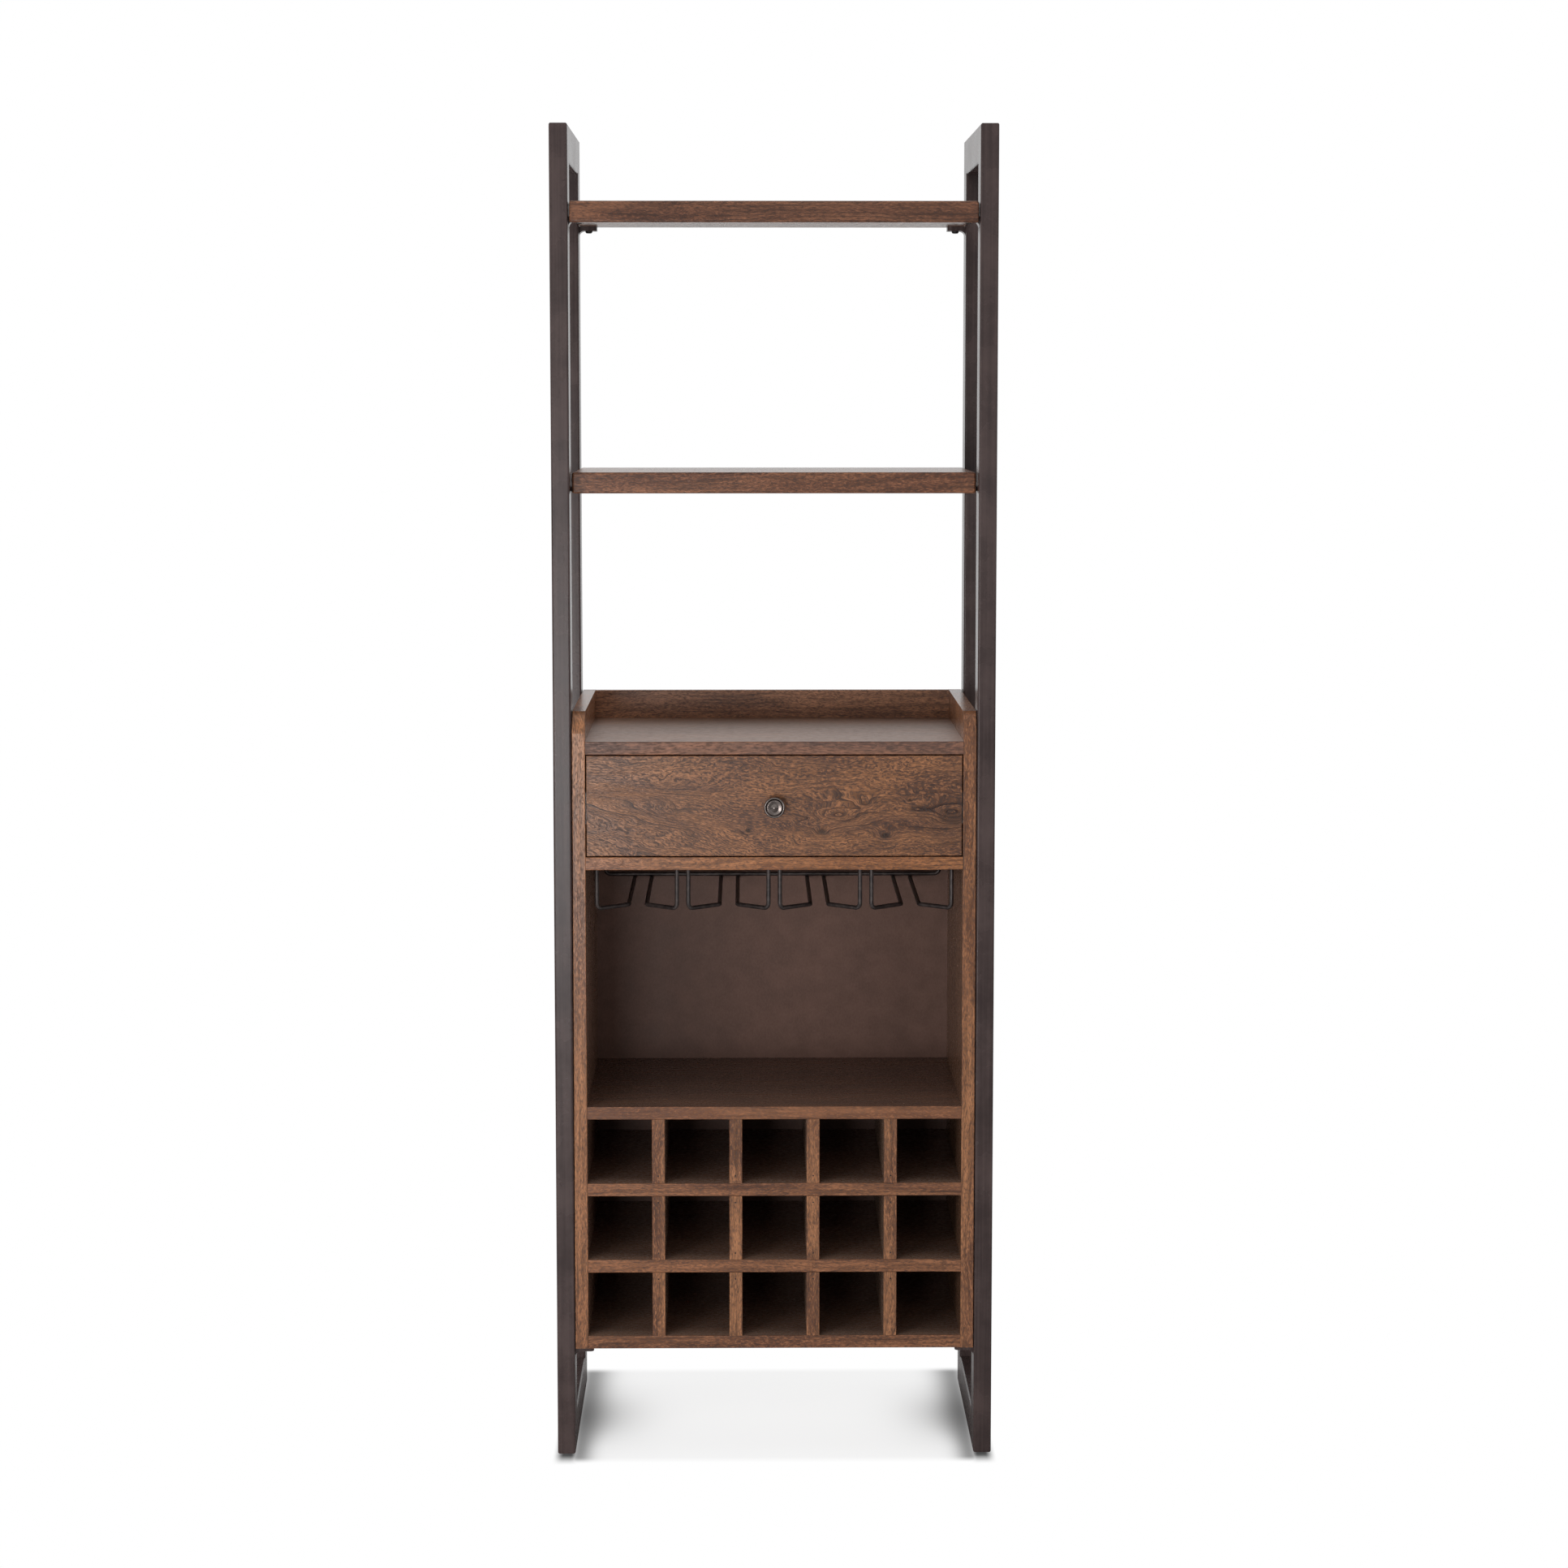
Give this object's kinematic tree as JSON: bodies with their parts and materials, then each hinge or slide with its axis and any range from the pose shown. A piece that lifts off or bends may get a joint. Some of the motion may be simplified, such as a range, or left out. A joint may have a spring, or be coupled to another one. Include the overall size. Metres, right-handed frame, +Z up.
{
  "type": "bar cabinet",
  "caption": "Tall bar cabinet: steel side frames carry open shelves over a wooden cabinet with a tray top, a drawer, a stemware rack and a grid of bottle cells.",
  "frame": {"origin": "on the floor, under the middle of the whole cabinet's box, knob included", "axes": "+X to the right as seen from the front, +Y from the front to the back, +Z up"},
  "size_m": [0.61, 0.375, 1.855],
  "materials": {
    "frame_steel": "satin gunmetal powder coat",
    "glide_plastic": "moulded black",
    "dark_screw": "blackened steel",
    "zinc_screw": "zinc plated",
    "back_wood": "dark brown stain",
    "dowel_wood": "raw hardwood",
    "rack_wire": "dark bronze",
    "knob_metal": "turned, dark nickel",
    "slide_steel": "zinc plated",
    "drawer_box_wood": "stained, satin lacquer",
    "drawer_front_wood": "walnut stain, satin lacquer",
    "shelf_wood": "walnut stain, satin lacquer",
    "cabinet_wood": "walnut stain, satin lacquer"
  },
  "bodies": {
    "root": {"back_panel": "back_wood", "back_panel_screws": "zinc_screw", "bottle_divider_1": "cabinet_wood", "bottle_divider_2": "cabinet_wood", "bottle_divider_3": "cabinet_wood", "bottle_divider_4": "cabinet_wood", "bottom_board": "cabinet_wood", "cabinet_lugs": "frame_steel", "cabinet_screws": "dark_screw", "carcass_dowels": "dowel_wood", "compartment_ceiling": "cabinet_wood", "compartment_floor": "cabinet_wood", "floor_glides": "glide_plastic", "glass_hanger_1": "rack_wire", "glass_hanger_2": "rack_wire", "glass_hanger_3": "rack_wire", "glass_hanger_4": "rack_wire", "glass_rack_cross_wire": "rack_wire", "left_bottom_bar": "frame_steel", "left_front_leg": "frame_steel", "left_rear_leg": "frame_steel", "left_side_panel": "cabinet_wood", "left_slide_outer": "slide_steel", "left_top_bar": "frame_steel", "lower_bottle_shelf": "cabinet_wood", "middle_shelf_board": "shelf_wood", "middle_shelf_lugs": "frame_steel", "middle_shelf_nosing": "shelf_wood", "middle_shelf_screws": "dark_screw", "right_bottom_bar": "frame_steel", "right_front_leg": "frame_steel", "right_rear_leg": "frame_steel", "right_side_panel": "cabinet_wood", "right_slide_outer": "slide_steel", "right_top_bar": "frame_steel", "slide_cabinet_screws": "zinc_screw", "top_shelf_board": "shelf_wood", "top_shelf_lugs": "frame_steel", "top_shelf_nosing": "shelf_wood", "top_shelf_screws": "dark_screw", "tray_back_rail": "cabinet_wood", "tray_board": "cabinet_wood", "upper_bottle_shelf": "cabinet_wood"},
    "drawer": {"drawer_bottom": "drawer_box_wood", "drawer_box_back": "drawer_box_wood", "drawer_box_front": "drawer_box_wood", "drawer_box_left_side": "drawer_box_wood", "drawer_box_right_side": "drawer_box_wood", "drawer_front": "drawer_front_wood", "drawer_front_screws": "zinc_screw", "drawer_knob": "knob_metal", "knob_screw": "zinc_screw", "left_slide_inner": "slide_steel", "right_slide_inner": "slide_steel", "slide_drawer_screws": "zinc_screw"},
    "left_slide_carriage": {"left_slide_middle": "slide_steel"},
    "right_slide_carriage": {"right_slide_middle": "slide_steel"}
  },
  "joints": [
    {"name": "drawer_slide", "type": "slide", "parent": "root", "child": "drawer", "axis": [0, -1, 0], "range_m": [0, 0.26]},
    {"name": "left_carriage_slide", "type": "slide", "parent": "root", "child": "left_slide_carriage", "axis": [0, -1, 0], "range_m": [0, 0.13]},
    {"name": "right_carriage_slide", "type": "slide", "parent": "root", "child": "right_slide_carriage", "axis": [0, -1, 0], "range_m": [0, 0.13]}
  ],
  "couplings": [
    {"joint": "left_carriage_slide", "follows": "drawer_slide", "ratio": 0.5},
    {"joint": "right_carriage_slide", "follows": "drawer_slide", "ratio": 0.5}
  ]
}
